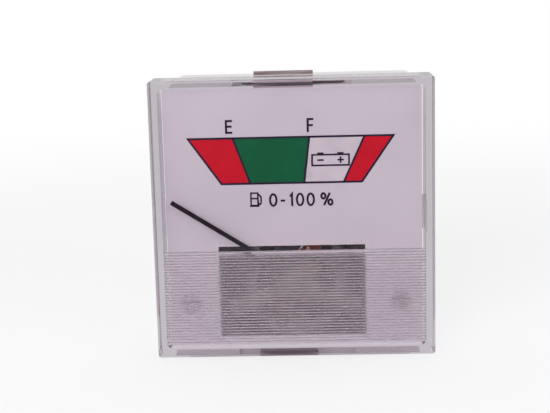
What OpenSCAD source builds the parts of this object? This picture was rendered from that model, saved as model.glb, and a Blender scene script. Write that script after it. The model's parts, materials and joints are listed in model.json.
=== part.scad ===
// Square panel fuel gauge: a moving coil meter in a snap in case.
// Millimetres. +Z is up, the front looks along -Y, and the origin is the middle
// of the plane y = 0, where the back of the clear cover rests on the panel.
// Angles of the pointer are counted from straight up, clockwise seen from the front.

/* [Front cover] */
// Width and height of the square clear front
front_w = 48; // [46:0.5:52]
// How far the cover stands in front of the panel
cover_depth = 7; // [6.5:0.1:9]
// Thickness of the cover's side walls
cover_wall = 1.5; // [1.2:0.1:1.8]
// Thickness of the flat window
window_t = 1.2; // [0.8:0.1:1.4]
// Width of the bevel round the front of the cover
cover_bevel = 0.35; // [0.2:0.05:0.6]
// How far that bevel goes back along the cover's sides
bevel_back = 0.15; // [0.05:0.05:0.4]
// Distance from one rib of the window to the next
rib_pitch = 0.5; // [0.4:0.05:1]
// Height of the window's ribs
rib_h = 0.22; // [0.15:0.01:0.3]
// How far the ribbed band starts above the dial's cut-out
rib_lead = 0.1; // [0.05:0.05:1]

/* [Rear case] */
// Room behind the movement for the leads and the terminals' heads
back_room = 5.5; // [5:0.1:12]
// Thickness of the case's side walls
case_wall = 2; // [1.8:0.1:2.1]
// Thickness of the case's back
back_t = 2; // [1.5:0.1:2.5]
// Rounding of the case's long corners
case_r = 1.2; // [0.8:0.1:2]
// Bevel round the case's back
case_bevel = 0.6; // [0.3:0.1:1]
// How far the case's rim goes into the cover
rim_reach = 1.2; // [1.2:0.1:1.5]

/* [Dial] */
// Thickness of the dial plate
dial_t = 0.5; // [0.4:0.1:0.8]
// Width of the cut-out in front of the movement
slot_w = 25.6; // [25:0.1:28]
// Sideways place of the cut-out
slot_shift = -0.5; // [-0.6:0.1:0.6]
// Height of the cut-out's top edge above the pivot
slot_rise = 5.1; // [4.6:0.05:5.6]
// Width of the strip that closes the cut-out at the foot
slot_foot = 1.2; // [1:0.1:2]
// Distance of the two dial screws from the dial's sides
dial_screw_edge = 3.7; // [3.2:0.1:4.2]
// Height of the dial screws above the dial's lower edge
dial_screw_rise = 8.2; // [6:0.1:9.2]
// Length of the dial screws
dial_screw_len = 6; // [4:0.5:10]

/* [Pointer] */
// Gap between the resting pointer's tip and the cover's side wall
tip_gap = 1.4; // [0.8:0.1:5]
// Width of the pointer's blade
pointer_w = 0.75; // [0.5:0.05:0.9]
// Thickness of the pointer's strip
pointer_t = 0.3; // [0.2:0.05:0.4]
// Gap between the pointer and the dial
pointer_lift = 1.55; // [1.2:0.05:2]
// Angle at which the unpowered pointer rests
rest_angle = -57.5; // [-60:0.5:-50]
// Turn from the rest to the right hand stop
pointer_travel = 102; // [90:1:104]
// Radius of the pointer's bent leg
leg_r = 3.6; // [3.5:0.1:3.9]

/* [Movement] */
// Radius of the cylindrical magnet
core_r = 4.8; // [4.4:0.1:4.9]
// Length of the magnet and of the ring round it
core_len = 8; // [7:0.5:9]
// Inner radius of the soft iron ring
ring_in = 7.2; // [7.1:0.05:7.3]
// Outer radius of the soft iron ring
ring_out = 8.8; // [8.4:0.1:8.8]
// Wall of the frame's sleeve round the ring
sleeve_wall = 0.6; // [0.5:0.05:0.9]
// Gap between the frame's sleeve and the case's floor
floor_gap = 0.2; // [0.2:0.05:1]
// Radius of the two frame pillars
pillar_r = 1.8; // [1.6:0.1:2]
// Angle of the frame pillars from straight up
pillar_angle = 112; // [108:1:118]
// Thickness of the front and rear bridges
bridge_t = 1; // [0.8:0.1:1.2]
// Radius of the steel pivots
pivot_r = 0.35; // [0.3:0.05:0.5]
// Number of turns of each hairspring
spring_turns = 3.5; // [2.5:0.5:4.5]

/* [Panel clips] */
// Width of the clips' tongues
clip_w = 10.3; // [8:0.1:13]
// Sideways place of the tongues
clip_shift = -1.4; // [-2:0.1:2]
// Thickness of the clips' spring sheet
clip_t = 0.35; // [0.3:0.05:0.4]
// How far the tongues stand out of the case
clip_rise = 2.35; // [2:0.05:2.5]
// Thickness of the thinnest panel that the tongues hold from behind
panel_t = 2; // [2:0.1:2.6]
// Number of steps at each tongue's front
clip_steps = 3; // [2:1:4]
// Width of the recess that takes a clip
recess_w = 20.8; // [20.6:0.2:24]
// Depth of the recess that takes a clip
recess_depth = 1.2; // [1.15:0.05:1.25]

/* [Terminals] */
// Distance between the two terminal studs
stud_span = 19; // [16:0.5:22]
// Height of the studs, above the middle
stud_rise = 9; // [7:0.5:11]
// Radius of the terminal studs
stud_r = 1.5; // [1.25:0.05:2]
// How far the studs stand out of the case
stud_out = 11; // [10:0.5:14]

/* [Hidden] */
$fn = 64;

// Clearances
cover_gap = 0.3;
snap_gap = 0.1;
running_gap = 0.05;
overlap = 0.05;

// Front cover and case
cavity_w = front_w - 2 * cover_wall;
cavity_r = 0.8;
case_w = cavity_w - 2 * cover_gap;
inner_w = case_w - 2 * case_wall;
inner_r = 0.6;
window_y = -cover_depth + window_t;
sleeve_r = ring_out + sleeve_wall;
pivot_drop = inner_w / 2 - floor_gap - sleeve_r;
slot_top = pivot_drop - slot_rise;
rib_start = slot_top - rib_lead;
rib_foot_gap = 0.4;
rib_end = cavity_w / 2 - rib_foot_gap;
rib_count = floor((rib_end - rib_start) / rib_pitch);

// Snap lugs at the sides of the case's rim
lug_l = 6;
lug_h = 0.7;
lug_reach = cover_gap + 0.3;
lug_y = -rim_reach / 2;

// Dial
dial_w = case_w;
dial_back = -rim_reach;
dial_front = dial_back - dial_t;
slot_bottom = dial_w / 2 - slot_foot;
dial_screw_x = dial_w / 2 - dial_screw_edge;
dial_screw_z = -dial_w / 2 + dial_screw_rise;
screw_r = 0.8;
screw_head_r = 1.6;
screw_head_h = 0.7;
screw_slot_t = 0.35;
screw_slot_half = 0.2;
hole_spare = 1;
boss_r = 2;

// Depths of the movement, front to back
bridge_front = -0.2;
bridge_back = bridge_front + bridge_t;
spring_w = 0.35;
spring_y = bridge_back + 0.4;
cross_y = spring_y + spring_w + 0.45;
cross_t = 0.3;
hub_y = cross_y + cross_t;
base_y = hub_y + pointer_t;
base_t = 0.45;
coil_y = base_y + base_t;
wind_t = 1;
former_t = 0.3;
end_gap = 0.8;
core_y = coil_y + wind_t + former_t + end_gap;
core_end = core_y + core_len;
coil_end = core_end + end_gap + former_t + wind_t;
rear_base_end = coil_end + base_t;
rear_spring_y = rear_base_end + 0.35;
rear_bridge_front = rear_spring_y + spring_w + 1.1;
rear_bridge_back = rear_bridge_front + bridge_t;
back_in = rear_bridge_back + back_room;
case_depth = back_in + back_t;

// Coil: its sides pass between the magnet and the ring
former_in = core_r + 0.6;
former_out = former_in + former_t;
coil_out = former_out + wind_t - 0.1;
former_half = 1.5;
coil_half = 1.3;
coil_rest = -pointer_travel / 2;
spacer_half = 1.3;

// Frame
sleeve_lead = 0.6;
sleeve_y = core_y - sleeve_lead;
lip_in = ring_in + 0.5;
lip_t = 1;
pillar_at = sleeve_r + 1.4;
ear_inset = 6.2;
ear_x = inner_w / 2 - ear_inset;
ear_rise = 3.6;
ear_half = 2;
ear_t = 1.6;
arm_half = 1.2;
disc_r = 2.7;

// Stops: the bridge's two ears stand beside the pointer's leg
leg_t = 0.4;
stop_half = 0.5;
stop_gap = 0.06;
leg_corner = norm([leg_r, pointer_w / 2]);
stop_swing = atan(pointer_w / 2 / leg_r) + asin((stop_half + stop_gap) / leg_corner);
stop_reach = leg_r + leg_t + 0.4;

// Hairsprings and the levers that hold their outer ends
jewel_r = 1.1;
jewel_proud = 0.7;
jewel_depth = 0.85;
collet_r = 0.8;
spring_in = collet_r + 0.1;
spring_out = 3.1;
spring_t = 0.1;
lever_t = 0.3;
lever_angle = 150;
lever_out = 2.2;
lever_mid = (jewel_r + lever_out) / 2;
anchor_angle = 20;
anchor_reach = 6;
anchor_half = 0.8;
tab_in = spring_out + spring_t / 2 + 0.02;
tab_t = 0.35;
tab_half = 0.5;

// Pointer: the blade runs over the dial, in front of the cut-out
blade_y = dial_front - pointer_lift - pointer_t;
pointer_reach = (cavity_w / 2 - tip_gap) / sin(abs(rest_angle));
hub_r = 1.3;

// Balance weights on the cross behind the pointer
cross_reach = 4.6;
cross_half = 0.25;
weight_r = 0.4;
weight_from = 2.9;
weight_len = 1.3;

// Clips
clip_len = 17.4;
recess_front = 0.1;
clip_y = recess_front + clip_len;
curl_r = clip_t;
pocket_floor = case_w / 2 - recess_depth;
curl_z = pocket_floor + curl_r + running_gap;
peak_flat = 0.5;
keeper_w = recess_w - 2;
crossbar_len = 2;

// Each step is a riser and a short slope above it
panel_gap = 0.05;
toe_rise = 0.6;
toe = [panel_t + panel_gap, case_w / 2 + toe_rise];
step_run = 0.25;
step_h = (clip_rise - toe_rise) / clip_steps;
slope_h = 0.38 * step_h;
peak = toe + clip_steps * [step_run, step_h];
toe_room = 0.6;
window_end = toe[0] + clip_t + toe_room;

// Depth of the threaded holes in the frame's pillars
thread_in = 3;
bridge_screw_grip = 2.5;
bridge_screw_head = 1.4;

// Terminals
pad_r = 4;
pad_t = 0.6;
washer_t = 0.4;
nut_h = 2.2;
nut_af = 5.5;
tag_t = 0.4;
tag_len = 8;
head_r = 2.8;
head_h = 1.6;
stud_in = 1.2;
pad_y = case_depth + pad_t;
clamp_y = pad_y + washer_t;
tag_y = clamp_y + nut_h;
nut_y = tag_y + tag_t;
free_y = nut_y + nut_h;
nut_face_gap = 0.1;
stud_end = case_depth + stud_out;
// A nut's thread and the stud's meet halfway up the thread
grip_r = stud_r - 0.16;
part_y = back_in - head_h - stud_in;

// Parts on the leads
lead_r = 0.3;
wire_r = 0.35;
lead_y = part_y - lead_r;
resistor_l = 7;
resistor_r = 1.3;
diode_x = 6.2;
diode_l = 4;
diode_r = 0.95;
diode_drop = 3;
diode_z = stud_rise - diode_drop - diode_l;
lead_drop = 2;
wall_gap = 2;

// Basic shapes

// A round bar along Y from y0 to y1
module bar_y(r, y0, y1, x = 0, z = 0) {
    translate([x, y0, z]) rotate([-90, 0, 0]) cylinder(r = r, h = y1 - y0);
}

// A flat shape drawn in X and Z, given depth from y0 to y1
module depth(y0, y1) {
    translate([0, y1, 0]) rotate([90, 0, 0]) linear_extrude(y1 - y0) children();
}

// A profile drawn in Y and Z, given width from x0 to x1
module width(x0, x1) {
    translate([x0, 0, 0]) rotate([90, 0, 90]) linear_extrude(x1 - x0) children();
}

// A square with round corners whose arcs stay true
module rounded_square(w, r, h = 0) {
    tall = h > 0 ? h : w;
    square([w - 2 * r, tall], center = true);
    square([w, tall - 2 * r], center = true);
    for (x = [-1, 1], z = [-1, 1])
        translate([x * (w / 2 - r), z * (tall / 2 - r)]) circle(r);
}

// What a bevel takes off the four edges of a square face that lies at y.
// It is as wide as across on the face, and goes as far as back along the sides.
module bevel_cut(w, y, across, back) {
    for (turn = [0:90:270]) rotate([0, turn, 0]) width(-w / 2 - 1, w / 2 + 1)
        polygon([[y - back, w / 2 - 2 * across], [y + 2 * back, w / 2 + across],
                 [y - sign(back), w / 2 + 1]]);
}

// Moves its children to the pivot and turns them clockwise by an angle
module at_pivot(angle = 0) {
    translate([0, 0, -pivot_drop]) rotate([0, angle, 0]) children();
}

// A box that runs outwards from the pivot, straight up before it is turned
module spoke(half, r0, r1, y0, y1) {
    translate([-half, y0, r0]) cube([2 * half, y1 - y0, r1 - r0]);
}

function unit(v) = v / norm(v);

// Slides a point along a direction onto the plane through c with normal n
function slide(p, way, c, n) = p + way * (((c - p) * n) / (way * n));

// A wire through a list of points, with mitred bends
module wire(points, r, sides = 8) {
    last = len(points) - 1;
    ways = [for (i = [0:last - 1]) unit(points[i + 1] - points[i])];
    right = unit(cross(ways[0], [0.36, 0.48, 0.8]));
    up = cross(ways[0], right);
    function bend(i) = i == last ? ways[i - 1] : ways[i - 1] + ways[i];
    function ring(i) = i == 0
        ? [for (k = [0:sides - 1]) points[0]
            + r * (cos(360 * k / sides) * right + sin(360 * k / sides) * up)]
        : [for (p = ring(i - 1)) slide(p, ways[i - 1], points[i], bend(i))];
    function skin(i, k) = [i * sides + k, (i + 1) * sides + k,
        (i + 1) * sides + (k + 1) % sides, i * sides + (k + 1) % sides];
    polyhedron(
        points = [for (i = [0:last]) each ring(i)],
        faces = concat([[for (k = [0:sides - 1]) k]],
            [for (i = [0:last - 1], k = [0:sides - 1]) skin(i, k)],
            [[for (k = [sides - 1:-1:0]) last * sides + k]]));
}

// A slotted cheese head screw whose head faces the front, or the back if turned
module screw(len, head_r = screw_head_r) {
    bar_y(screw_r, 0, len);
    difference() {
        bar_y(head_r, -screw_head_h, 0);
        translate([-head_r, -screw_head_h - overlap, -screw_slot_half])
            cube([2 * head_r, screw_slot_t + overlap, 2 * screw_slot_half]);
    }
}

// Places one copy on each side of the middle
module both_sides(x) {
    for (side = [-1, 1]) translate([side * x, 0, 0]) children();
}

// Casing

// The ribs inside the window: one saw edge along the whole width
module window_ribs() {
    valley = window_y + 0.02;
    crest = window_y + rib_h;
    teeth = [for (i = [0:rib_count - 1]) each [
        [valley, -rib_start - i * rib_pitch],
        [crest, -rib_start - (i + 0.5) * rib_pitch]]];
    foot = -rib_start - rib_count * rib_pitch;
    width(-cavity_w / 2 - overlap, cavity_w / 2 + overlap)
        polygon(concat([[window_y - overlap, -rib_start]], teeth,
                       [[valley, foot], [window_y - overlap, foot]]));
}

module front_cover() {
    color("gainsboro", 0.45) union() {
        difference() {
            depth(-cover_depth, 0) rounded_square(front_w, 0.5);
            depth(window_y, 1) rounded_square(cavity_w, cavity_r);
            bevel_cut(front_w, -cover_depth, cover_bevel, bevel_back);
            // Pockets for the case's snap lugs
            translate([0, lug_y, 0])
                cube([cavity_w + 2 * (lug_reach - cover_gap + snap_gap),
                      lug_h + 2 * snap_gap, lug_l + 2 * snap_gap], center = true);
        }
        window_ribs();
    }
}

// The cut that takes one clip, in the top of the case
module clip_recess() {
    top = case_w / 2;
    // Open trough as deep as the recess
    translate([-recess_w / 2, recess_front, pocket_floor])
        cube([recess_w, clip_y - curl_r - recess_front - running_gap, recess_depth + 1]);
    // Pocket behind it, under the keeper, for the rolled edge
    translate([-keeper_w / 2, clip_y - 1, pocket_floor])
        cube([keeper_w, 1 + curl_r + running_gap, 2 * curl_r + 2 * running_gap]);
    // Slot through the wall that lets the pressed clip's end sink in
    translate([-recess_w / 2, recess_front, top - case_wall - 1])
        cube([recess_w, window_end - recess_front, case_wall + 2]);
}

module case_boss(x, z, y0) {
    bar_y(boss_r, y0, back_in + overlap, x, z);
}

module rear_case() {
    color("whitesmoke") difference() {
        union() {
            difference() {
                depth(-rim_reach, case_depth) rounded_square(case_w, case_r);
                depth(-rim_reach - 1, back_in) rounded_square(inner_w, inner_r);
                bevel_cut(case_w, case_depth, case_bevel, -case_bevel);
                clip_recess();
                mirror([0, 0, 1]) clip_recess();
            }
            // Snap lugs, wedge shaped so that the cover rides over them
            for (side = [0, 180]) rotate([0, side, 0])
                translate([case_w / 2 - overlap, lug_y, -lug_l / 2])
                    linear_extrude(lug_l) polygon([[0, -lug_h / 2], [0, lug_h / 2],
                        [lug_reach + overlap, lug_h / 2], [lug_reach / 2, -lug_h / 2]]);
            // Ridge in front of each rolled edge
            for (side = [0, 180]) rotate([0, side, 0])
                translate([-keeper_w / 2, clip_y - 3 * curl_r, pocket_floor - overlap])
                    cube([keeper_w, curl_r, 0.15 + overlap]);
            both_sides(dial_screw_x) case_boss(0, dial_screw_z, -rim_reach);
            both_sides(ear_x) case_boss(0, ear_rise - pivot_drop, rear_bridge_front);
            both_sides(stud_span / 2) bar_y(pad_r, case_depth - overlap, pad_y, 0, stud_rise);
        }
        both_sides(dial_screw_x)
            bar_y(screw_r, -rim_reach - 1, dial_front + dial_screw_len + hole_spare, 0, dial_screw_z);
        both_sides(ear_x)
            bar_y(screw_r, rear_bridge_front - 1, back_in - 1, 0, ear_rise - pivot_drop);
        both_sides(stud_span / 2)
            bar_y(stud_r + 0.1, back_in - 1, pad_y + 1, 0, stud_rise);
    }
}

// Dial

module dial_plate() {
    color([0.80, 0.75, 0.79]) depth(dial_front, dial_back) difference() {
        rounded_square(dial_w, 0.6);
        translate([slot_shift - slot_w / 2, -slot_bottom])
            square([slot_w, slot_bottom - slot_top]);
        both_sides(dial_screw_x) translate([0, dial_screw_z]) circle(screw_r + 0.1);
    }
}

module dial_screws() {
    color("silver") both_sides(dial_screw_x)
        translate([0, dial_front, dial_screw_z]) screw(dial_screw_len);
}

// Movement, fixed pieces

module movement_frame() {
    color("dimgray") difference() {
        union() {
            at_pivot() {
                bar_y(sleeve_r, sleeve_y, rear_bridge_front);
                for (side = [-1, 1]) rotate([0, side * pillar_angle, 0])
                    bar_y(pillar_r, bridge_back, rear_bridge_front, 0, pillar_at);
            }
            translate([-ear_x - ear_half, rear_bridge_front - ear_t, ear_rise - pivot_drop - ear_half])
                cube([2 * (ear_x + ear_half), ear_t, 2 * ear_half]);
        }
        at_pivot() {
            bar_y(ring_out, sleeve_y - 1, core_end);
            bar_y(lip_in, sleeve_y - 1, rear_bridge_front + 1);
            bar_y(ring_out, core_end + lip_t, rear_bridge_front + 1);
            for (side = [-1, 1]) rotate([0, side * pillar_angle, 0]) {
                bar_y(screw_r, bridge_back - 1, bridge_back + thread_in, 0, pillar_at);
                bar_y(screw_r, rear_bridge_front - thread_in, rear_bridge_front + 1, 0, pillar_at);
            }
        }
        both_sides(ear_x)
            bar_y(screw_r + 0.1, rear_bridge_front - ear_t - 1, rear_bridge_front + 1,
                  0, ear_rise - pivot_drop);
    }
}

module frame_screws() {
    color("silver") both_sides(ear_x)
        translate([0, rear_bridge_front - ear_t, ear_rise - pivot_drop]) screw(ear_t + 3);
}

module yoke_ring() {
    color("gray") at_pivot() difference() {
        bar_y(ring_out, core_y, core_end);
        bar_y(ring_in, core_y - 1, core_end + 1);
    }
}

module core_magnet() {
    color("darkslategray") at_pivot() bar_y(core_r, core_y, core_end);
}

// The coil never reaches these two places, so they carry the magnet
module core_spacers() {
    color("peru") at_pivot() for (turn = [0, 180]) rotate([0, turn, 0])
        difference() {
            intersection() {
                bar_y(ring_in, core_y, core_end);
                spoke(spacer_half, core_r / 2, ring_in, core_y, core_end);
            }
            bar_y(core_r, core_y - 1, core_end + 1);
        }
}

// A disc with two arms to the pillars, its holes drilled through
module bridge(y0, y1) {
    difference() {
        union() {
            bar_y(disc_r, y0, y1);
            for (side = [-1, 1]) rotate([0, side * pillar_angle, 0]) {
                spoke(arm_half, 0, pillar_at, y0, y1);
                bar_y(pillar_r, y0, y1, 0, pillar_at);
            }
            children();
        }
        bar_y(jewel_r, y0 - 1, y1 + 1);
        for (side = [-1, 1]) rotate([0, side * pillar_angle, 0])
            bar_y(screw_r + 0.1, y0 - 1, y1 + 1, 0, pillar_at);
    }
}

module front_bridge() {
    color([0.80, 0.66, 0.38]) at_pivot() bridge(bridge_front, bridge_back) {
        rotate([0, rest_angle - stop_swing, 0])
            spoke(stop_half, disc_r / 2, stop_reach, bridge_front, bridge_back);
        rotate([0, rest_angle + pointer_travel + stop_swing, 0])
            spoke(stop_half, disc_r / 2, stop_reach, bridge_front, bridge_back);
    }
}

module rear_bridge() {
    color([0.80, 0.66, 0.38]) at_pivot() bridge(rear_bridge_front, rear_bridge_back);
}

module bridge_screws() {
    color("silver") at_pivot() for (side = [-1, 1]) rotate([0, side * pillar_angle, 0])
        translate([0, 0, pillar_at]) {
            translate([0, bridge_front, 0]) screw(bridge_t + bridge_screw_grip, bridge_screw_head);
            translate([0, rear_bridge_back, 0]) mirror([0, 1, 0])
                screw(bridge_t + bridge_screw_grip, bridge_screw_head);
        }
}

// A slotted bearing screw with the pivot's cup in its inner end
module jewel_screw(len) {
    difference() {
        bar_y(jewel_r, 0, len);
        bar_y(pivot_r + running_gap, len - jewel_depth, len + 1);
        translate([-jewel_r, -overlap, -0.15]) cube([2 * jewel_r, 0.35 + overlap, 0.3]);
    }
}

module front_jewel_screw() {
    color("gold") at_pivot() translate([0, bridge_front - jewel_proud, 0])
        jewel_screw(bridge_t + jewel_proud + lever_t);
}

module rear_jewel_screw() {
    color("gold") at_pivot() translate([0, rear_bridge_back + jewel_proud, 0])
        mirror([0, 1, 0]) jewel_screw(bridge_t + jewel_proud + lever_t);
}

// A ring round the bearing screw, with a tab that holds a hairspring's outer end.
// y0 is the face on the bridge, and the tab reaches towards the coil as far as reach.
module spring_lever(y0, reach, sign) {
    near = min(y0, y0 + sign * lever_t);
    tab = min(y0, y0 + sign * reach);
    difference() {
        union() {
            bar_y(lever_out, near, near + lever_t);
            rotate([0, lever_angle, 0])
                spoke(tab_half, lever_mid, tab_in + tab_t, near, near + lever_t);
            children();
        }
        bar_y(jewel_r, near - 1, near + lever_t + 1);
    }
    rotate([0, lever_angle, 0]) spoke(tab_half, tab_in, tab_in + tab_t, tab, tab + reach);
}

module zero_lever() {
    color("goldenrod") at_pivot()
        spring_lever(bridge_back, spring_y + spring_w - bridge_back, 1);
}

// The rear anchor also has the arm that takes the lead of the diode
module rear_spring_anchor() {
    color("goldenrod") at_pivot()
        spring_lever(rear_bridge_front, rear_bridge_front - rear_spring_y, -1)
            rotate([0, anchor_angle, 0])
                spoke(anchor_half, lever_mid, anchor_reach,
                      rear_bridge_front - lever_t, rear_bridge_front);
}

// A flat spiral from the collet out to the lever's tab
module hairspring(y0) {
    steps = 24 * spring_turns;
    function radius(i) = spring_in + (spring_out - spring_in) * i / steps;
    function turn(i) = 90 - lever_angle + 360 * (steps - i) / 24;
    function edge(i, side) = (radius(i) + side * spring_t / 2) * [cos(turn(i)), sin(turn(i))];
    depth(y0, y0 + spring_w) polygon(concat(
        [for (i = [0:steps]) edge(i, 1)],
        [for (i = [0:steps]) edge(steps - i, -1)]));
}

module front_hairspring() {
    color("orange") at_pivot() hairspring(spring_y);
}

module rear_hairspring() {
    color("orange") at_pivot() hairspring(rear_spring_y);
}

// Movement, turning pieces

module pointer() {
    color("black") at_pivot(rest_angle) difference() {
        union() {
            bar_y(hub_r, hub_y, hub_y + pointer_t);
            spoke(pointer_w / 2, 0, leg_r + leg_t, hub_y, hub_y + pointer_t);
            spoke(pointer_w / 2, leg_r, leg_r + leg_t, blade_y, hub_y + pointer_t);
            spoke(pointer_w / 2, leg_r, pointer_reach, blade_y, blade_y + pointer_t);
        }
        bar_y(pivot_r, hub_y - 1, hub_y + 1);
    }
}

// A staff with its collet and the base that is cemented to the coil.
// It is drawn pointing to the front, with the coil's face at y = 0.
module pivot(reach, collet_y) {
    bar_y(1.7, -base_t, 0);
    bar_y(pivot_r, -reach, -base_t);
    difference() {
        bar_y(collet_r, collet_y - 0.1, collet_y + spring_w + 0.1);
        bar_y(pivot_r, collet_y - 1, collet_y + spring_w + 1);
    }
}

module front_pivot() {
    tip = bridge_back + lever_t - jewel_depth + 0.1;
    color("lightsteelblue") at_pivot() translate([0, coil_y, 0])
        pivot(coil_y - tip, spring_y - coil_y);
}

module rear_pivot() {
    tip = rear_bridge_front - lever_t + jewel_depth - 0.1;
    color("lightsteelblue") at_pivot() translate([0, coil_end, 0]) mirror([0, 1, 0])
        pivot(tip - coil_end, coil_end - rear_spring_y - spring_w);
}

// A frame round the magnet, drawn with its sides left and right of the pivot
module coil_loop(out, front, back, in, in_front, in_back, half, r) {
    at_pivot(coil_rest) translate([0, 0, -half]) linear_extrude(2 * half) difference() {
        translate([0, (front + back) / 2]) rounded_square(2 * out, r, back - front);
        translate([0, (in_front + in_back) / 2])
            rounded_square(2 * in, max(r - 1, 0.2), in_back - in_front);
    }
}

module coil_former() {
    front = coil_y + wind_t;
    back = coil_end - wind_t;
    color("silver") coil_loop(former_out, front, back,
        former_in, front + former_t, back - former_t, former_half, 0.4);
}

module moving_coil() {
    color([0.72, 0.38, 0.2]) difference() {
        coil_loop(coil_out, coil_y, coil_end,
            former_in, coil_y + 2 * wind_t, coil_end - 2 * wind_t, coil_half, 1.2);
        at_pivot(coil_rest) translate([0, 0, -former_half]) linear_extrude(2 * former_half)
            translate([0, (coil_y + coil_end) / 2])
                rounded_square(2 * former_out, 0.4, coil_end - coil_y - 2 * wind_t);
    }
}

module cross_arm(y0, y1, extra = 0) {
    spoke(cross_half + extra, 0, cross_reach, y0 - extra, y1 + extra);
}

module balance_cross() {
    color("silver") at_pivot(rest_angle) difference() {
        union() {
            bar_y(1.2, cross_y, cross_y + cross_t);
            for (turn = [90, 180, 270]) rotate([0, turn, 0]) cross_arm(cross_y, cross_y + cross_t);
        }
        bar_y(pivot_r, cross_y - 1, cross_y + 1);
    }
}

module balance_weights() {
    color("peru") at_pivot(rest_angle) for (turn = [90, 180, 270]) rotate([0, turn, 0])
        difference() {
            translate([0, cross_y + cross_t / 2, weight_from]) cylinder(r = weight_r, h = weight_len);
            cross_arm(cross_y, cross_y + cross_t);
        }
}

// Terminals

module terminal_studs() {
    color("gold") both_sides(stud_span / 2) translate([0, 0, stud_rise]) {
        bar_y(grip_r, part_y, free_y + nut_face_gap + overlap);
        bar_y(head_r, back_in - head_h, back_in);
        bar_y(stud_r, free_y + nut_face_gap, stud_end);
    }
}

module terminal_washers() {
    color("silver") both_sides(stud_span / 2) translate([0, 0, stud_rise]) difference() {
        bar_y(nut_af / 2 + 0.7, pad_y, clamp_y);
        bar_y(stud_r + 0.1, pad_y - 1, clamp_y + 1);
    }
}

module hex_nuts(y0) {
    both_sides(stud_span / 2) translate([0, y0, stud_rise]) rotate([-90, 0, 0])
        difference() {
            cylinder(r = nut_af / sqrt(3), h = nut_h, $fn = 6);
            translate([0, 0, -1]) cylinder(r = grip_r + running_gap, h = nut_h + 2);
        }
}

module clamp_nuts() {
    color("goldenrod") hex_nuts(clamp_y);
}

// A ring under the outer nut, with a tab for a soldered lead
module solder_tags() {
    color("lightgray") depth(tag_y, nut_y) both_sides(stud_span / 2)
        translate([0, stud_rise]) difference() {
            union() {
                circle(nut_af / 2 + 0.3);
                translate([-1.4, 0]) square([2.8, tag_len - 1.4]);
                translate([0, tag_len - 1.4]) circle(1.4);
            }
            circle(stud_r + 0.1);
            translate([0, tag_len - 1.4]) circle(0.6);
        }
}

module terminal_nuts() {
    color("goldenrod") hex_nuts(nut_y);
}

// Parts on leads between the plus stud and the rear spring anchor

module series_resistor() {
    color("tan") translate([-resistor_l / 2, lead_y, stud_rise]) rotate([0, 90, 0]) {
        cylinder(r = resistor_r * 0.86, h = resistor_l);
        for (x = [0, resistor_l - 1.6]) translate([0, 0, x]) cylinder(r = resistor_r, h = 1.6);
    }
}

module zener_diode() {
    color("orangered") translate([diode_x, lead_y, diode_z])
        cylinder(r = diode_r, h = diode_l);
}

module component_leads() {
    anchor = [0.8 * anchor_reach * sin(anchor_angle), 0.8 * anchor_reach * cos(anchor_angle)];
    color("silver") {
        wire([[-stud_span / 2, lead_y, stud_rise], [-resistor_l / 2, lead_y, stud_rise]], lead_r);
        wire([[resistor_l / 2, lead_y, stud_rise], [diode_x, lead_y, stud_rise],
              [diode_x, lead_y, stud_rise - diode_drop]], lead_r);
        wire([[diode_x, lead_y, diode_z], [diode_x, lead_y, diode_z - lead_drop],
              [anchor[0], lead_y - lead_drop / 2, anchor[1] - pivot_drop],
              [anchor[0], rear_bridge_front, anchor[1] - pivot_drop]], lead_r);
    }
}

// The insulated wire from the minus stud to the end of the front bridge
module supply_wire() {
    end_x = pillar_at * sin(pillar_angle) + (pillar_r + wire_r) * cos(20);
    end_z = pillar_at * cos(pillar_angle) - pivot_drop + (pillar_r + wire_r) * sin(20);
    mid_y = (bridge_front + bridge_back) / 2;
    side = inner_w / 2;
    color("firebrick") wire([
        [stud_span / 2, part_y - wire_r, stud_rise],
        [side - 1.4 * wall_gap, part_y - wall_gap, stud_rise / 2],
        [side - wall_gap, part_y / 2, -pivot_drop / 2],
        [side - 1.8 * wall_gap, bridge_back + wall_gap, -0.9 * pivot_drop],
        [end_x, mid_y, end_z]], wire_r);
}

// Panel clips: a sheet with a rolled edge and a wide root, whose long tongue slopes up to the
// front and comes down again in steps
module clip() {
    root = [clip_y, curl_z + clip_t / 2];
    steps = [for (i = [0:clip_steps - 1]) each [
        peak - i * [step_run, step_h],
        peak - i * [step_run, step_h] - [step_run, slope_h]]];
    outer = concat([root, peak + [peak_flat, 0]], steps, [toe]);
    // The inner face repeats the outer one, one sheet thickness away
    inner = [for (i = [len(outer) - 1:-1:1]) outer[i] + [clip_t, -clip_t]];
    sheet = concat(outer, inner, [[clip_y, curl_z - clip_t / 2]]);
    bar_end = keeper_w / 2 - 0.3;
    union() {
        width(clip_shift - clip_w / 2, clip_shift + clip_w / 2) polygon(sheet);
        intersection() {
            width(-bar_end, bar_end) polygon(sheet);
            translate([-bar_end, clip_y - crossbar_len, 0])
                cube([2 * bar_end, crossbar_len + 1, case_w]);
        }
        translate([-bar_end, clip_y, curl_z]) rotate([0, 90, 0])
            cylinder(r = curl_r, h = 2 * bar_end);
    }
}

module top_clip() {
    color("rosybrown") clip();
}

module bottom_clip() {
    color("rosybrown") mirror([0, 0, 1]) clip();
}

front_cover();
rear_case();
dial_plate();
dial_screws();
movement_frame();
frame_screws();
yoke_ring();
core_magnet();
core_spacers();
front_bridge();
rear_bridge();
bridge_screws();
front_jewel_screw();
rear_jewel_screw();
zero_lever();
rear_spring_anchor();
front_hairspring();
rear_hairspring();
pointer();
front_pivot();
rear_pivot();
coil_former();
moving_coil();
balance_cross();
balance_weights();
terminal_studs();
terminal_washers();
clamp_nuts();
solder_tags();
terminal_nuts();
series_resistor();
zener_diode();
component_leads();
supply_wire();
top_clip();
bottom_clip();
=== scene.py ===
"""Looks of a square panel fuel gauge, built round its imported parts.

Metres, +Z up, the front looks along -Y, and the origin is the middle of the panel plane,
where the back of the clear cover rests on the panel. Sizes and places are written in
millimetres, and MM turns them into metres."""

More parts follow.
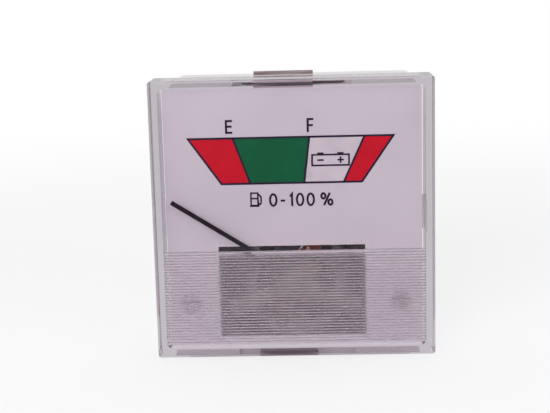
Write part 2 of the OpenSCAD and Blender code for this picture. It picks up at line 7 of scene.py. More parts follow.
import json
from math import cos, hypot, pi, radians, sin, tan

import bmesh
import bpy
from mathutils import Matrix, Vector


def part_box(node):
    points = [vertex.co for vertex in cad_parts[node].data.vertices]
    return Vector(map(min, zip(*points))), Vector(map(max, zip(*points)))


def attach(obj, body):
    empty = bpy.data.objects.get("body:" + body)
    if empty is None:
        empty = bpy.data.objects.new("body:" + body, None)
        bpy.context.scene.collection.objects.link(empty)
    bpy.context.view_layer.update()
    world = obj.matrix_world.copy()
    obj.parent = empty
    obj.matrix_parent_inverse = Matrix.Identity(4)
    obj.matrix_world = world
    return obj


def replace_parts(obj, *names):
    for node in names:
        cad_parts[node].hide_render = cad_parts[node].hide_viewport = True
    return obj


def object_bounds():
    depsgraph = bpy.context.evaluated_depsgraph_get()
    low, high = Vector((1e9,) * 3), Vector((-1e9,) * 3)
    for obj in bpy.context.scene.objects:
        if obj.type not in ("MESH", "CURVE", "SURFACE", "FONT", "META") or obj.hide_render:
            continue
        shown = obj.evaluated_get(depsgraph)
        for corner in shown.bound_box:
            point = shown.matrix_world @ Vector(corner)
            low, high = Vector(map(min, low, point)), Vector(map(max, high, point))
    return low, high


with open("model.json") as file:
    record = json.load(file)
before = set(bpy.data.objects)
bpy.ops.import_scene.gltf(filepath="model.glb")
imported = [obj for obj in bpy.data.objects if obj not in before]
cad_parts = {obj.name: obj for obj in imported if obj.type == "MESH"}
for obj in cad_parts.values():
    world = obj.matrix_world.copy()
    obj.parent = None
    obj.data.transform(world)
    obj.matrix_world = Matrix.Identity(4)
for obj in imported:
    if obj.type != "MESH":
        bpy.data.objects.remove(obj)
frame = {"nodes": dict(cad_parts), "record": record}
cad_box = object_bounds()

MM = 0.001
HOUSING = "housing"


# Materials: sums on shader values, and one finish per material

class Value:
    """A shader value. Each operator on it adds a Math node."""

    def __init__(self, finish, socket):
        self.finish = finish
        self.socket = socket

    def math(self, operation, *terms):
        """A Math node of that operation, fed with values or numbers."""
        return self.finish.node("ShaderNodeMath", {"operation": operation}, dict(enumerate(terms)))

    def __add__(self, other):
        return self.math("ADD", self, other)

    def __radd__(self, other):
        return self.math("ADD", other, self)

    def __sub__(self, other):
        return self.math("SUBTRACT", self, other)

    def __rsub__(self, other):
        return self.math("SUBTRACT", other, self)

    def __mul__(self, other):
        return self.math("MULTIPLY", self, other)

    def __truediv__(self, other):
        return self.math("DIVIDE", self, other)

    def __gt__(self, other):
        return self.math("GREATER_THAN", self, other)

    def __lt__(self, other):
        return self.math("LESS_THAN", self, other)

    def root(self):
        return self.math("SQRT", self)

    def wave(self):
        """Sine of this value, from 0 to 1."""
        return self.math("SINE", self) * 0.5 + 0.5

    def ramp(self, low, high):
        """Rises smoothly from 0 at low to 1 at high."""
        settings = {"interpolation_type": "SMOOTHSTEP"}
        return self.finish.node("ShaderNodeMapRange", settings, {0: self, 1: low, 2: high})


class Finish:
    """One material, or the world: its nodes, and short ways to add to them."""

    def __init__(self, name, store=bpy.data.materials):
        self.owner = store.new(name)
        self.owner.use_nodes = True
        self.tree = self.owner.node_tree
        self.tree.nodes.clear()

    def node(self, kind, settings=None, inputs=None, output=0):
        """Adds a node with its settings, feeds its sockets and returns one output."""
        made = self.tree.nodes.new(kind)
        for name, value in (settings or {}).items():
            setattr(made, name, value)
        for socket, value in (inputs or {}).items():
            if isinstance(value, Value):
                self.tree.links.new(value.socket, made.inputs[socket])
            else:
                made.inputs[socket].default_value = value
        return Value(self, made.outputs[output])

    def place(self, stretch=(1, 1, 1)):
        """The shaded point on its piece in millimetres, times a stretch along each axis."""
        spot = self.node("ShaderNodeTexCoord", output="Object")
        scale = [s / MM for s in stretch]
        return self.node("ShaderNodeVectorMath", {"operation": "MULTIPLY"}, {0: spot, 1: scale})

    def along(self, axis):
        """One coordinate of the shaded point, in millimetres."""
        return self.node("ShaderNodeSeparateXYZ", inputs={0: self.place()}, output=axis)

    def noise(self, size, detail, stretch=(1, 1, 1)):
        """Soft noise around 0.5 with lumps about size millimetres across."""
        inputs = {"Vector": self.place(stretch), "Scale": 1 / size, "Detail": detail}
        return self.node("ShaderNodeTexNoise", inputs=inputs)

    def blend(self, share, first, second):
        """Colour that goes from first to second as share goes from 0 to 1."""
        inputs = {0: share, 6: first, 7: second}
        return self.node("ShaderNodeMix", {"data_type": "RGBA"}, inputs, output=2)

    def mix(self, share, first, second):
        """A surface that goes from the first shader to the second as share goes from 0 to 1."""
        return self.node("ShaderNodeMixShader", inputs={0: share, 1: first, 2: second})

    def bump(self, height, reach):
        """A normal from a height of 0 to 1 that stands for reach millimetres."""
        inputs = {"Height": height, "Distance": reach * MM, "Strength": 1.0}
        return self.node("ShaderNodeBump", inputs=inputs)

    def principled(self, **inputs):
        """A Principled shader. Each name is a socket's, in small letters."""
        names = {name.replace("_", " ").title().replace("Ior", "IOR"): value
                 for name, value in inputs.items()}
        return self.node("ShaderNodeBsdfPrincipled", inputs=names)

    def where(self, rays, there, elsewhere):
        """One shader for the named kinds of ray, and another for all the rest."""
        surface = elsewhere
        for ray in rays:
            share = self.node("ShaderNodeLightPath", output=ray)
            surface = self.mix(share, surface, there)
        return surface

    def done(self, surface, volume=None, output="ShaderNodeOutputMaterial"):
        """Sends the shaders to the output and returns the material or the world."""
        out = self.tree.nodes.new(output)
        self.tree.links.new(surface.socket, out.inputs["Surface"])
        if volume:
            self.tree.links.new(volume.socket, out.inputs["Volume"])
        return self.owner


def linear(red, green, blue):
    """A display colour of 0 to 255 as the linear colour that the shaders take."""
    parts = [c / 255 for c in (red, green, blue)]
    return [c / 12.92 if c <= 0.04045 else ((c + 0.055) / 1.055) ** 2.4 for c in parts] + [1.0]


def shade(colour, factor):
    """The same colour, darker or lighter."""
    return [min(c * factor, 1.0) for c in colour[:3]] + [1.0]


def moulded_plastic(name, colour, roughness=0.42):
    """Moulded plastic: faint flow marks, a fine grain and a satin shine."""
    f = Finish(name)
    flow = f.noise(9.0, 3.0, (1, 0.3, 1))
    fine = f.noise(0.12, 1.0)
    tint = f.blend(flow.ramp(0.35, 0.7), shade(colour, 0.97), shade(colour, 1.02))
    return f.done(f.principled(
        base_color=tint,
        roughness=roughness - 0.06 + fine * 0.12,
        normal=f.bump(fine, 0.004)))


# How noise is stretched to draw marks out along one axis
ALONG_X = (0.05, 1, 1)
ALONG_Y = (1, 0.05, 1)


def worked_metal(name, colour, roughness, along=(1, 1, 1), bump=0.003):
    """Metal with tool marks drawn out along one axis and slight tarnish in patches."""
    f = Finish(name)
    marks = f.noise(0.25, 3.0, along)
    patches = f.noise(2.2, 3.0)
    tint = f.blend(patches.ramp(0.4, 0.75), colour, shade(colour, 0.75))
    return f.done(f.principled(
        base_color=tint,
        metallic=1.0,
        roughness=roughness - 0.1 + marks * 0.12 + patches * 0.1,
        normal=f.bump(marks, bump)))


# The cover's ribbed window, its haze and its scuffed sides
RIBS_TOP, RIBS_FOOT, RIBS_HALF = -5.4, -22.2, 22.45
RIBS_FRONT, RIBS_BACK = -6.3, -5.5
RIB_HAZE, RIB_FROST = 0.21, 0.25
SCUFFED, SCUFF_DEPTH = 0.25, 0.03
GREY_PER_MM = 0.15
cover_side, _, cover_top = (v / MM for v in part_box("front_cover")[1])


def clear_plastic():
    """Clear moulded acrylic, greyer the longer the way through it, as along its side walls.
    Light from the lamps and the dial passes it unbent, but less of it passes the window's
    ribs. The ribs have a fine haze, and the outer faces at the sides and top are scuffed."""
    f = Finish("clear_acrylic")
    x, y, z = (f.along(axis) for axis in "XYZ")
    ribbed = (z < RIBS_TOP) * (z > RIBS_FOOT) * (x > -RIBS_HALF) * (x < RIBS_HALF)
    ribbed = ribbed * (y > RIBS_FRONT) * (y < RIBS_BACK)
    glass = f.principled(
        base_color=linear(250, 248, 252), roughness=ribbed * RIB_FROST, ior=1.49,
        transmission_weight=1.0)
    speckle = f.noise(0.5, 3.0)
    side = cover_side - SCUFF_DEPTH
    outer = (x > side) + (x < -side) + (z > cover_top - SCUFF_DEPTH)
    marks = outer.ramp(0, 1) * (SCUFFED + speckle * 0.3) + ribbed * RIB_HAZE
    tone = f.blend(ribbed, linear(156, 148, 154), linear(186, 174, 182))
    scuff = f.principled(base_color=tone, roughness=0.5 + speckle * 0.3)
    worn = f.mix(marks, glass, scuff)
    open_way = f.node("ShaderNodeBsdfTransparent", inputs={0: linear(248, 247, 248)})
    dim_way = f.node("ShaderNodeBsdfTransparent", inputs={0: linear(236, 230, 234)})
    way = f.mix(ribbed, open_way, dim_way)
    grey = f.node("ShaderNodeVolumeAbsorption",
                  inputs={"Color": (0.5, 0.45, 0.49, 1.0), "Density": GREY_PER_MM / MM})
    return f.done(f.where(("Is Diffuse Ray", "Is Shadow Ray"), way, worn), grey)


def dial_enamel():
    """Matt white enamel on sheet metal, a little violet, with the faintest orange peel."""
    f = Finish("dial_enamel")
    cloud = f.noise(14.0, 2.0)
    peel = f.noise(0.35, 2.0)
    tint = f.blend(cloud.ramp(0.3, 0.7), linear(203, 195, 202), linear(208, 200, 206))
    return f.done(f.principled(
        base_color=tint, roughness=0.5 + peel * 0.1, specular_ior_level=0.2,
        normal=f.bump(peel, 0.002)))


def printing_ink(name, colour):
    """Screen printed ink: even colour with a fine weave in its gloss."""
    f = Finish(name)
    weave = f.noise(0.15, 1.0)
    patch = f.noise(3.0, 2.0)
    tint = f.blend(patch.ramp(0.3, 0.7), colour, shade(colour, 0.9))
    return f.done(f.principled(
        base_color=tint, roughness=0.4 + weave * 0.15, specular_ior_level=0.15,
        normal=f.bump(weave, 0.0015)))


def matt_paint(name, colour):
    """Dull dark paint with a fine speckle."""
    f = Finish(name)
    speckle = f.noise(0.08, 2.0)
    tint = f.blend(speckle.ramp(0.5, 0.8), colour, shade(colour, 1.8))
    return f.done(f.principled(
        base_color=tint, roughness=0.5 + speckle * 0.2, specular_ior_level=0.2,
        normal=f.bump(speckle, 0.003)))


WIRE_PITCH = 0.1848


def wound_wire():
    """Turns of enamelled copper wire side by side round the coil, with painted shade in the
    grooves between turns and a painted highlight on their crests.
    """
    f = Finish("copper_winding")
    turn = 2 * pi / WIRE_PITCH
    turn_relief_and_shade = (f.along("X") * turn).wave() * (f.along("Z") * turn).wave()
    patches = f.noise(0.8, 2.0)
    # Painted shade and highlight: the copper is darker in the grooves between turns and lighter on
    # their crests
    tint = f.blend(turn_relief_and_shade, linear(92, 40, 22), linear(196, 104, 62))
    return f.done(f.principled(
        base_color=tint, metallic=0.85, roughness=0.25 + patches * 0.15,
        normal=f.bump(turn_relief_and_shade, 0.03)))


# The ring's two edges, up from the diode's lower end
DIODE_RING = (0.4, 1.0)
diode_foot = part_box("zener_diode")[0][2] / MM


def sealed_glass():
    """The diode's glass bead over its red tinted die, with the dark ring at one end."""
    f = Finish("diode_glass")
    depth = f.noise(0.9, 1.0)
    rise = f.along("Z") - diode_foot
    tint = f.blend(depth.ramp(0.35, 0.65), linear(196, 74, 30), linear(226, 132, 70))
    tint = f.blend((rise > DIODE_RING[0]) * (rise < DIODE_RING[1]), tint, linear(30, 28, 30))
    return f.done(f.principled(base_color=tint, roughness=0.08 + depth * 0.05, coat_weight=1.0))


# Each ring's place along the resistor, and its colour
RESISTOR_RINGS = [(-2.7, (120, 66, 30)), (-1.3, (28, 26, 28)), (-0.1, (190, 40, 34)),
                  (2.7, (196, 156, 66))]
RING_HALF = 0.22


def ringed_lacquer():
    """The resistor's lacquer with its rings of colour."""
    f = Finish("resistor_lacquer")
    x = f.along("X")
    cloud = f.noise(2.0, 2.0)
    tint = f.blend(cloud.ramp(0.3, 0.7), linear(206, 178, 140), linear(194, 164, 126))
    for place, colour in RESISTOR_RINGS:
        ring = (x > place - RING_HALF) * (x < place + RING_HALF)
        tint = f.blend(ring, tint, linear(*colour))
    return f.done(f.principled(base_color=tint, roughness=0.2 + cloud * 0.1, coat_weight=0.5))


# The clips' sheet: where its crest is, how it falls to the rear, and how far down its steps are
CREST_Y, CREST_ROUND = 3.4, 0.02
CLIP_T, CLIP_FALL = 0.35, 0.21
STEP_DROP = 0.63
clip_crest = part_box("top_clip")[1][2] / MM - CREST_ROUND


def spring_sheet():
    """Spring sheet, brownish grey. Its inner side and the steps next to the panel are painted
    paler, a painted light where they lie in shade or mirror the dark front.
    """
    f = Finish("spring_sheet")
    rolled = f.noise(0.18, 3.0, ALONG_X)
    patches = f.noise(3.0, 2.0)
    y = f.along("Y")
    z = f.along("Z")
    height = z.math("ABSOLUTE", z)
    middle = clip_crest - CLIP_T / 2 - (y - CREST_Y) * CLIP_FALL
    inner_side = (height < middle) * (y > CREST_Y)
    steps = (height < clip_crest - STEP_DROP) * (y < CREST_Y)
    painted_light_mask = inner_side + steps
    tint = f.blend(rolled.ramp(0.3, 0.75), linear(126, 112, 114), linear(168, 155, 156))
    # Painted light: the inner side and the steps are painted pale where they lie in shade or
    # mirror the dark front
    tint = f.blend(painted_light_mask, tint, linear(204, 190, 196))
    return f.done(f.principled(
        base_color=tint, metallic=0.9 - painted_light_mask * 0.4, roughness=0.4 + patches * 0.15 + painted_light_mask * 0.1,
        normal=f.bump(rolled, 0.006)))


# Finishes by record slot, with darker brass, bronze and zinc for what is inside the case

OUTSIDE = ("terminal_studs", "terminal_washers", "clamp_nuts", "terminal_nuts")

finishes = {
    "clear_plastic": clear_plastic(),
    "white_plastic": moulded_plastic("white_moulding", linear(228, 224, 226)),
    "dial_enamel": dial_enamel(),
    "zinc_steel": worked_metal("zinc_steel", linear(196, 196, 192), 0.32),
    "dark_plastic": moulded_plastic("dark_moulding", linear(52, 48, 52), 0.5),
    "soft_iron": worked_metal("soft_iron", linear(112, 106, 110), 0.45, ALONG_Y),
    "magnet": worked_metal("magnet_alloy", linear(84, 84, 90), 0.5, bump=0.01),
    "brass": worked_metal("stamped_brass", linear(208, 180, 126), 0.32, ALONG_X),
    "bronze": worked_metal("spring_bronze", linear(188, 132, 84), 0.28),
    "black_paint": matt_paint("pointer_black", linear(20, 9, 21)),
    "bright_steel": worked_metal("ground_steel", linear(206, 206, 208), 0.2, ALONG_Y),
    "aluminium": worked_metal("bare_aluminium", linear(206, 206, 208), 0.35),
    "copper_wire": wound_wire(),
    "tinned_brass": worked_metal("tinned_brass", linear(204, 202, 196), 0.26),
    "resistor_lacquer": ringed_lacquer(),
    "diode_glass": sealed_glass(),
    "red_wire": moulded_plastic("red_insulation", linear(176, 34, 34), 0.3),
    "spring_steel": spring_sheet(),
}
ink_dark = printing_ink("dark_ink", linear(38, 24, 50))
ink_red = printing_ink("red_ink", linear(204, 8, 36))
ink_green = printing_ink("green_ink", linear(0, 92, 54))
ink_white = printing_ink("white_ink", linear(210, 201, 206))
# Brass, bronze and zinc inside the case are darker copies of those outside
finishes_inside = {
    "brass": worked_metal("dark_inside_brass", linear(104, 92, 90), 0.4, ALONG_X),
    "bronze": worked_metal("dark_inside_bronze", linear(150, 112, 92), 0.4),
    "zinc_steel": worked_metal("dark_inside_zinc", linear(104, 98, 103), 0.5),
}
pale_zinc = worked_metal("pale_zinc", linear(186, 177, 184), 0.7)

for part in frame["record"]["subparts"]:
    node, finish = part["node"], part["material_slot"]
    inside = {} if node in OUTSIDE else finishes_inside
    if node == "dial_screws":
        inside = {"zinc_steel": pale_zinc}
    for slot in frame["nodes"][node].material_slots:
        slot.material = inside.get(finish, finishes[finish])


# Meshes made here

OVAL_STEPS = 28


def add_piece(name, bm, finish, body=HOUSING):
    """Turns a bmesh into a piece that rides on a body."""
    bmesh.ops.recalc_face_normals(bm, faces=bm.faces)
    mesh = bpy.data.meshes.new(name)
    bm.to_mesh(mesh)
    bm.free()
    piece = bpy.data.objects.new(name, mesh)
    bpy.context.scene.collection.objects.link(piece)
    mesh.materials.append(finish)
    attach(piece, body)
    return piece


def add_strip(bm, left, right, y_front, y_back, closed=False):
    """A flat strip between two rows of (x, z) points in millimetres, with thickness."""
    rows = []
    for a, b in zip(left, right):
        corners = [(a, y_front), (b, y_front), (b, y_back), (a, y_back)]
        rows.append([bm.verts.new((p[0] * MM, y * MM, p[1] * MM)) for p, y in corners])
    count = len(rows)
    for i in range(count if closed else count - 1):
        here, there = rows[i], rows[(i + 1) % count]
        for k in range(4):
            bm.faces.new((here[k], here[(k + 1) % 4], there[(k + 1) % 4], there[k]))
    if not closed:
        bm.faces.new(rows[0])
        bm.faces.new(reversed(rows[-1]))


def stroke_sides(points, width, closed):
    """Both edges of a line of that width along (x, z) points, with mitred corners."""
    count = len(points)
    left, right = [], []
    for i, (x, z) in enumerate(points):
        before = points[i - 1] if closed or i else None
        after = points[(i + 1) % count] if closed or i < count - 1 else None
        ways = []
        for a, b in ((before, (x, z)), ((x, z), after)):
            if a is not None and b is not None:
                length = hypot(b[0] - a[0], b[1] - a[1])
                ways.append(((b[0] - a[0]) / length, (b[1] - a[1]) / length))
        across = (-sum(w[1] for w in ways), sum(w[0] for w in ways))
        size = hypot(*across)
        across = (across[0] / size, across[1] / size)
        square = -ways[0][1] * across[0] + ways[0][0] * across[1]
        reach = width / 2 / square
        left.append((x + across[0] * reach, z + across[1] * reach))
        right.append((x - across[0] * reach, z - across[1] * reach))
    return left, right


def add_stroke(bm, points, width, y_front, y_back):
    """A printed line. It is a closed loop if its last point repeats its first."""
    closed = points[0] == points[-1]
    left, right = stroke_sides(points[:-1] if closed else points, width, closed)
    add_strip(bm, left, right, y_front, y_back, closed)


def arc(x, z, rx, rz, start, end, steps):
    """Points of an ellipse's arc, from one angle to another in degrees."""
    turn_relief_and_shade = [radians(start + (end - start) * i / steps) for i in range(steps + 1)]
    return [(x + rx * cos(t), z + rz * sin(t)) for t in turn_relief_and_shade]


def oval(x, z, rx, rz):
    """A closed ellipse round (x, z)."""
    points = arc(x, z, rx, rz, 0, 360, OVAL_STEPS)
    return points[:-1] + [points[0]]


def box_line(x0, z0, x1, z1):
    """A closed rectangle between two of its corners."""
    return [(x0, z0), (x1, z0), (x1, z1), (x0, z1), (x0, z0)]


# Print on the dial, in millimetres

FIELD_T, LINE_T, PRINT_SUNK = 0.02, 0.035, 0.01
dial_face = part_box("dial_plate")[0][1] / MM
field_front = dial_face - FIELD_T
line_front = dial_face - LINE_T
print_back = dial_face + PRINT_SUNK

# The scale's fields lie between lines that end at these places on its top and foot edges
SCALE_TOP, SCALE_FOOT = 13.56, 5.6
EDGES_TOP = [-17.95, -10.23, 2.94, 12.42, 17.37]
EDGES_FOOT = [-12.38, -7.38, 1.93, 8.75, 11.89]
SCALE_LINE, LETTER_LINE = 0.36, 0.37


def scale_field(name, index, finish):
    """One coloured field of the scale, between two of its dividing lines."""
    bm = bmesh.new()
    left = [(EDGES_TOP[index], SCALE_TOP), (EDGES_FOOT[index], SCALE_FOOT)]
    right = [(EDGES_TOP[index + 1], SCALE_TOP), (EDGES_FOOT[index + 1], SCALE_FOOT)]
    add_strip(bm, left, right, field_front, print_back)
    add_piece(name, bm, finish)


def scale_lines():
    """The dark outline of the scale and the lines between its fields."""
    bm = bmesh.new()
    outline = [(EDGES_TOP[0], SCALE_TOP), (EDGES_TOP[-1], SCALE_TOP),
               (EDGES_FOOT[-1], SCALE_FOOT), (EDGES_FOOT[0], SCALE_FOOT),
               (EDGES_TOP[0], SCALE_TOP)]
    add_stroke(bm, outline, SCALE_LINE, line_front, print_back)
    for top, foot in zip(EDGES_TOP[1:-1], EDGES_FOOT[1:-1]):
        add_stroke(bm, [(top, SCALE_TOP), (foot, SCALE_FOOT)], SCALE_LINE, line_front, print_back)
    add_piece("scale_lines", bm, ink_dark)


def print_strokes(name, strokes, corner, height, line=LETTER_LINE):
    """Prints strokes that are drawn in a box of height 1, from its lower left corner up."""
    bm = bmesh.new()
    for points in strokes:
        placed = [(corner[0] + x * height, corner[1] + z * height) for x, z in points]
        add_stroke(bm, placed, line, line_front, print_back)
    add_piece(name, bm, ink_dark)


# Letters, signs and pictograms as strokes in a box of height 1
LETTER_E = [[(0.52, 0.94), (0.06, 0.94), (0.06, 0.06), (0.52, 0.06)], [(0.06, 0.52), (0.48, 0.52)]]
LETTER_F = [[(0.48, 0.94), (0.06, 0.94), (0.06, 0.0)], [(0.06, 0.5), (0.44, 0.5)]]
DIGIT_0 = [oval(0.3, 0.5, 0.24, 0.44)]
DIGIT_1 = [[(0.1, 0.74), (0.26, 0.94), (0.26, 0.0)]]
DASH = [[(0.06, 0.44), (0.4, 0.44)]]
PERCENT = [oval(0.2, 0.74, 0.15, 0.2), oval(0.72, 0.26, 0.15, 0.2), [(0.68, 0.98), (0.24, 0.02)]]
PUMP = [
    box_line(0.09, 0.09, 0.55, 0.93),
    [(0.09, 0.56), (0.55, 0.56)],
    [(0.0, 0.05), (0.64, 0.05)],
    [(0.55, 0.3)] + arc(0.67, 0.3, 0.09, 0.14, 180, 360, 8) + [(0.76, 0.66), (0.6, 0.86)],
]
BATTERY = [
    box_line(0.06, 0.06, 2.6, 0.8),
    [(0.42, 0.9), (0.86, 0.9)],
    [(1.8, 0.9), (2.24, 0.9)],
    [(0.42, 0.43), (0.86, 0.43)],
    [(1.8, 0.43), (2.24, 0.43)],
    [(2.02, 0.21), (2.02, 0.65)],
]
# The caption's signs, each with the way to the next one in heights
CAPTION = [(DIGIT_0, 0.8), (DASH, 0.66), (DIGIT_1, 0.56), (DIGIT_0, 0.8), (DIGIT_0, 1.06),
           (PERCENT, 1.0)]

# Where they are printed, how tall, and with which line
EMPTY_CORNER, EMPTY_HEIGHT = (-11.44, 14.4), 2.3
FULL_CORNER, FULL_HEIGHT = (2.58, 14.38), 2.37
BATTERY_CORNER, BATTERY_HEIGHT, BATTERY_LINE = (3.2, 8.4), 2.5, 0.3
PUMP_X, PUMP_HEIGHT, PUMP_LINE = -7.6, 2.6, 0.28
CAPTION_X, CAPTION_FOOT, CAPTION_HEIGHT = -4.2, 1.5, 2.3

scale_field("scale_red_left", 0, ink_red)
scale_field("scale_green", 1, ink_green)
scale_field("scale_white", 2, ink_white)
scale_field("scale_red_right", 3, ink_red)
scale_lines()
print_strokes("mark_empty", LETTER_E, EMPTY_CORNER, EMPTY_HEIGHT)
print_strokes("mark_full", LETTER_F, FULL_CORNER, FULL_HEIGHT)
print_strokes("mark_battery", BATTERY, BATTERY_CORNER, BATTERY_HEIGHT, BATTERY_LINE)
print_strokes("caption_pump", PUMP, (PUMP_X, CAPTION_FOOT), PUMP_HEIGHT, PUMP_LINE)
pen = CAPTION_X
for index, (sign, advance) in enumerate(CAPTION):
    print_strokes(f"caption_sign_{index}", sign, (pen, CAPTION_FOOT), CAPTION_HEIGHT)
    pen += advance * CAPTION_HEIGHT


# Studs, nuts and marks at the back, in millimetres, and the slope of the nuts' chamfer in degrees

STUD_R, GRIP_R = 1.5, 1.34
HEAD_R, HEAD_H = 2.8, 1.6
THREAD_PITCH, THREAD_DEPTH, THREAD_FLAT = 0.5, 0.3, 1.2
THREAD_SIDES, THREAD_ROWS = 24, 6
NUT_HALF, NUT_FACE, NUT_SIDES = 2.75, 2.64, 48
NUT_SLOPE = 30
BORE_R, BORE_LEAD = 1.42, 0.25
PAD_T, CASE_BACK_T = 0.6, 2.0
MARK_LENGTH, MARK_LINE, MARK_Z = 2.8, 0.7, 1.6
MARK_SUNK, MARK_PROUD = 0.05, 0.25

washer_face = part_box("terminal_washers")[0][1] / MM
case_back = washer_face - PAD_T
head_back = case_back - CASE_BACK_T
stud_low, stud_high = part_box("terminal_studs")
stud_start, stud_end = stud_low[1] / MM, stud_high[1] / MM
stud_x = stud_high[0] / MM - HEAD_R
stud_z = (stud_low[2] + stud_high[2]) / 2 / MM


def add_ring(bm, x, z, spots):
    """Vertices round an axis along Y through (x, z): one (radius, y) for each angle."""
    turn_relief_and_shade = [2 * pi * i / len(spots) for i in range(len(spots))]
    return [bm.verts.new(((x + r * sin(t)) * MM, y * MM, (z + r * cos(t)) * MM))
            for t, (r, y) in zip(turn_relief_and_shade, spots)]


def add_skin(bm, rows, capped):
    """Joins rings of vertices. The ends are capped, or else the last ring meets the first."""
    for here, there in zip(rows, rows[1:] + ([] if capped else rows[:1])):
        for i in range(len(here)):
            k = (i + 1) % len(here)
            bm.faces.new((here[i], here[k], there[k], there[i]))
    if capped:
        bm.faces.new(rows[0])
        bm.faces.new(reversed(rows[-1]))


def threaded_stud(name, x, thread_start):
    """A terminal stud: its head inside the case, its shank, and its threaded free end."""
    bm = bmesh.new()
    shank = [(GRIP_R, stud_start), (GRIP_R, head_back - HEAD_H), (HEAD_R, head_back - HEAD_H),
             (HEAD_R, head_back), (GRIP_R, head_back), (GRIP_R, thread_start)]
    rows = [[spot] * THREAD_SIDES for spot in shank]
    count = int((stud_end - thread_start) / THREAD_PITCH * THREAD_ROWS)
    for i in range(1, count + 1):
        y = thread_start + (stud_end - thread_start) * i / count
        blunt = GRIP_R - THREAD_DEPTH + stud_end - y
        row = []
        for k in range(THREAD_SIDES):
            phase = (y / THREAD_PITCH - k / THREAD_SIDES) % 1
            tooth = min(1.0, THREAD_FLAT * abs(2 * phase - 1))
            row.append((min(STUD_R - THREAD_DEPTH * (1 - tooth), blunt), y))
        rows.append(row)
    add_skin(bm, [add_ring(bm, x, stud_z, row) for row in rows], True)
    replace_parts(add_piece(name, bm, finishes["brass"]), "terminal_studs")


def chamfered_nut(name, x, node):
    """A hexagon nut with its corners turned off at both faces and a countersunk bore."""
    bm = bmesh.new()
    y0, y1 = (corner[1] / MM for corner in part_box(node))
    reach = [NUT_HALF / cos(radians((360 * i / NUT_SIDES + 30) % 60 - 30))
             for i in range(NUT_SIDES)]
    drop = [(r - NUT_FACE) * tan(radians(NUT_SLOPE)) for r in reach]
    rows = [[(NUT_FACE, y0)] * NUT_SIDES,
            [(r, y0 + d) for r, d in zip(reach, drop)],
            [(r, y1 - d) for r, d in zip(reach, drop)],
            [(NUT_FACE, y1)] * NUT_SIDES,
            [(BORE_R + BORE_LEAD, y1)] * NUT_SIDES,
            [(BORE_R, y1 - BORE_LEAD)] * NUT_SIDES,
            [(BORE_R, y0 + BORE_LEAD)] * NUT_SIDES,
            [(BORE_R + BORE_LEAD, y0)] * NUT_SIDES]
    add_skin(bm, [add_ring(bm, x, stud_z, row) for row in rows], False)
    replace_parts(add_piece(name, bm, finishes["brass"]), node)


def raised_mark(name, x, outline):
    """A sign that stands out of the case's back, below the stud at x."""
    bm = bmesh.new()
    ends = [[bm.verts.new(((x + px) * MM, y * MM, (MARK_Z + pz) * MM)) for px, pz in outline]
            for y in (case_back - MARK_SUNK, case_back + MARK_PROUD)]
    add_skin(bm, ends, True)
    add_piece(name, bm, finishes["white_plastic"])


nut_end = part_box("terminal_nuts")[1][1] / MM
for sign, x in (("plus", -stud_x), ("minus", stud_x)):
    threaded_stud(f"stud_{sign}", x, nut_end - BORE_LEAD)
    chamfered_nut(f"clamp_nut_{sign}", x, "clamp_nuts")
    chamfered_nut(f"terminal_nut_{sign}", x, "terminal_nuts")

long, thin = MARK_LENGTH / 2, MARK_LINE / 2
raised_mark("mark_minus", stud_x, [(-long, -thin), (long, -thin), (long, thin), (-long, thin)])
raised_mark("mark_plus", -stud_x, [
    (-thin, -long), (thin, -long), (thin, -thin), (long, -thin), (long, thin), (thin, thin),
    (thin, long), (-thin, long), (-thin, thin), (-long, thin), (-long, -thin), (-thin, -thin)])


# Floor, backdrop, light and camera

# Tones that metal and clear plastic show: white, and dimmer ones before the front, which set
# in from the sides to the middle
WHITE = (1.0, 1.0, 1.0)
DIM_NEAR = (0.42, 0.375, 0.4)
DIM_FAR = (0.05, 0.045, 0.05)
DIM_BEYOND = (0.75, 0.68, 0.76)
DIM_SIDE, DIM_MIDDLE = 0.55, 0.85


def glow(f, tone, kind):
    """Plain light of one colour, as a surface or as a background."""
    return f.node(kind, inputs={0: (*tone, 1.0), 1: 1.0})


def inner_mirror(f):
    """1 for light that clear plastic or metal behind it throws back, 0 straight through."""
    return f.node("ShaderNodeLightPath", output="Glossy Depth") > 0.5


# The sheet's half width, the share of light that passes it, and where it fades to white
FLOOR_HALF = 6000
SHEET_OPEN = 0.7
CLEAR_NEAR, CLEAR_FAR = 100, 340
# The dim fan before the front: its corner behind the panel, and its changes of tone ahead
FAN_BACK, FAN_EDGE = 60, 10
NEAR_FRONT, FAR_FRONT = 75, 115
BEYOND_NEAR, BEYOND_FAR = 345, 460


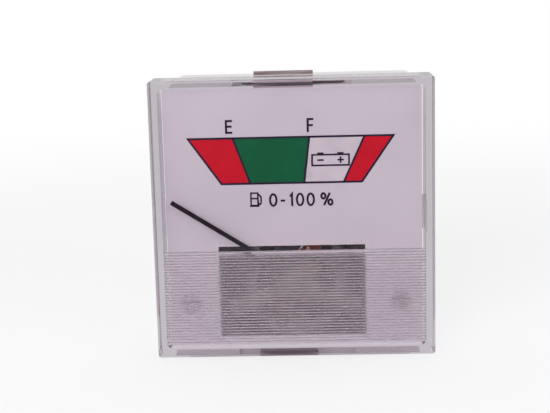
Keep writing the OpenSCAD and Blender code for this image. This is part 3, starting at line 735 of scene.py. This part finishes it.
def floor_paper():
    """A pale sheet, lit from below as well. It keeps the shadow by the object and fades to
    white further away. What metal and clear plastic show of it is white behind and at the
    sides, grey close before the front, and dark further ahead. Beyond that, what clear
    plastic throws back from within is pale again."""
    kind = "ShaderNodeEmission"
    f = Finish("pale_sheet")
    x, y = f.along("X"), f.along("Y")
    paper = f.principled(base_color=linear(248, 248, 249), roughness=0.8)
    lit_below = f.node("ShaderNodeBsdfTranslucent", inputs={0: linear(250, 250, 251)})
    sheet = f.mix(SHEET_OPEN, paper, lit_below)
    away = (x * x + y * y).root().ramp(CLEAR_NEAR, CLEAR_FAR)
    far = f.where(("Is Camera Ray",), glow(f, WHITE, kind), sheet)
    seen = f.mix(away, sheet, far)
    forward = 0 - y
    run = FAN_BACK + forward
    ahead = (run / (x * x + run * run).root()).ramp(DIM_SIDE, DIM_MIDDLE)
    ahead = ahead * forward.ramp(-FAN_EDGE, 0)
    dim = f.mix(forward.ramp(NEAR_FRONT, FAR_FRONT), glow(f, DIM_NEAR, kind),
                glow(f, DIM_FAR, kind))
    shine = f.mix(ahead, glow(f, WHITE, kind), dim)
    dim = f.mix(forward.ramp(BEYOND_NEAR, BEYOND_FAR), dim, glow(f, DIM_BEYOND, kind))
    mirrored = f.mix(ahead * inner_mirror(f), glow(f, WHITE, kind), dim)
    seen = f.where(("Is Glossy Ray",), shine, seen)
    return f.done(f.where(("Is Transmission Ray",), mirrored, seen))


def add_floor():
    """The sheet at the object's lowest point."""
    low = cad_box[0][2]
    half = FLOOR_HALF * MM
    mesh = bpy.data.meshes.new("floor")
    corners = [(-half, -half, low), (half, -half, low), (half, half, low), (-half, half, low)]
    mesh.from_pydata(corners, [], [(0, 1, 2, 3)])
    mesh.materials.append(floor_paper())
    floor = bpy.data.objects.new("floor", mesh)
    bpy.context.scene.collection.objects.link(floor)


# Strength above and below the sheet, and the rise at which the dim side ends
LIGHT_ABOVE = (0.62, 0.62, 0.62)
LIGHT_BELOW = (1.25, 1.25, 1.25)
DIM_LOW, DIM_HIGH = 0.35, 0.6
NOT_ZERO = 1e-6


def add_world():
    """Even pale light all round, twice as strong from below the sheet. The camera sees plain
    white. Metal and clear plastic mirror white too, but dark low before the front, and what
    clear plastic throws back from within is a little dimmer there."""
    kind = "ShaderNodeBackground"
    f = Finish("studio", bpy.data.worlds)
    way = f.node("ShaderNodeTexCoord", output="Generated")
    x, y, z = (f.node("ShaderNodeSeparateXYZ", inputs={0: way}, output=axis) for axis in "XYZ")
    light = f.mix(z > 0, glow(f, LIGHT_BELOW, kind), glow(f, LIGHT_ABOVE, kind))
    seen = f.where(("Is Camera Ray",), glow(f, WHITE, kind), light)
    ahead = (0 - y / (x * x + y * y + NOT_ZERO).root()).ramp(DIM_SIDE, DIM_MIDDLE)
    low = 1 - z.ramp(DIM_LOW, DIM_HIGH)
    shine = f.mix(ahead * low, glow(f, WHITE, kind), glow(f, DIM_FAR, kind))
    mirrored = f.mix(ahead * low * inner_mirror(f), glow(f, WHITE, kind),
                     glow(f, DIM_BEYOND, kind))
    seen = f.where(("Is Glossy Ray",), shine, seen)
    surface = f.where(("Is Transmission Ray",), mirrored, seen)
    bpy.context.scene.world = f.done(surface, output="ShaderNodeOutputWorld")


# The lamps' width and places in millimetres, and their power in watts
LAMP_SIZE = 400
KEY_PLACE, KEY_WATTS = (-300, -650, 320), 3.7
FILL_PLACE, FILL_WATTS = (500, -450, 200), 1.15


def add_lamp(name, place, watts):
    """A soft square lamp that faces the object."""
    data = bpy.data.lights.new(name, "AREA")
    data.size = LAMP_SIZE * MM
    data.energy = watts
    lamp = bpy.data.objects.new(name, data)
    bpy.context.scene.collection.objects.link(lamp)
    lamp.location = Vector(place) * MM
    lamp.rotation_euler = (-lamp.location).to_track_quat("-Z", "Y").to_euler()


# The camera's sensor, lens, place and reach in millimetres, and its turns in degrees
SENSOR, LENS = 36.0, 82.77
EYE = (4.41, -217.34, 43.27)
YAW, PITCH, ROLL = -2.036, -10.978, -1.503
SIGHT_NEAR, SIGHT_FAR = 5, 50000


def add_camera():
    """The photograph's view, from a fit to the front's edges and the print on the dial."""
    data = bpy.data.cameras.new("camera")
    data.sensor_width = SENSOR
    data.lens = LENS
    data.clip_start = SIGHT_NEAR * MM
    data.clip_end = SIGHT_FAR * MM
    camera = bpy.data.objects.new("camera", data)
    bpy.context.scene.collection.objects.link(camera)
    yaw, pitch, roll = (radians(angle) for angle in (YAW, PITCH, ROLL))
    camera.matrix_world = (Matrix.Translation(Vector(EYE) * MM) @ Matrix.Rotation(-yaw, 4, "Z")
                           @ Matrix.Rotation(pi / 2 + pitch, 4, "X")
                           @ Matrix.Rotation(roll, 4, "Z"))
    bpy.context.scene.camera = camera


add_floor()
add_world()
add_lamp("key", KEY_PLACE, KEY_WATTS)
add_lamp("fill", FILL_PLACE, FILL_WATTS)
add_camera()

bpy.context.scene.view_settings.view_transform = "Standard"
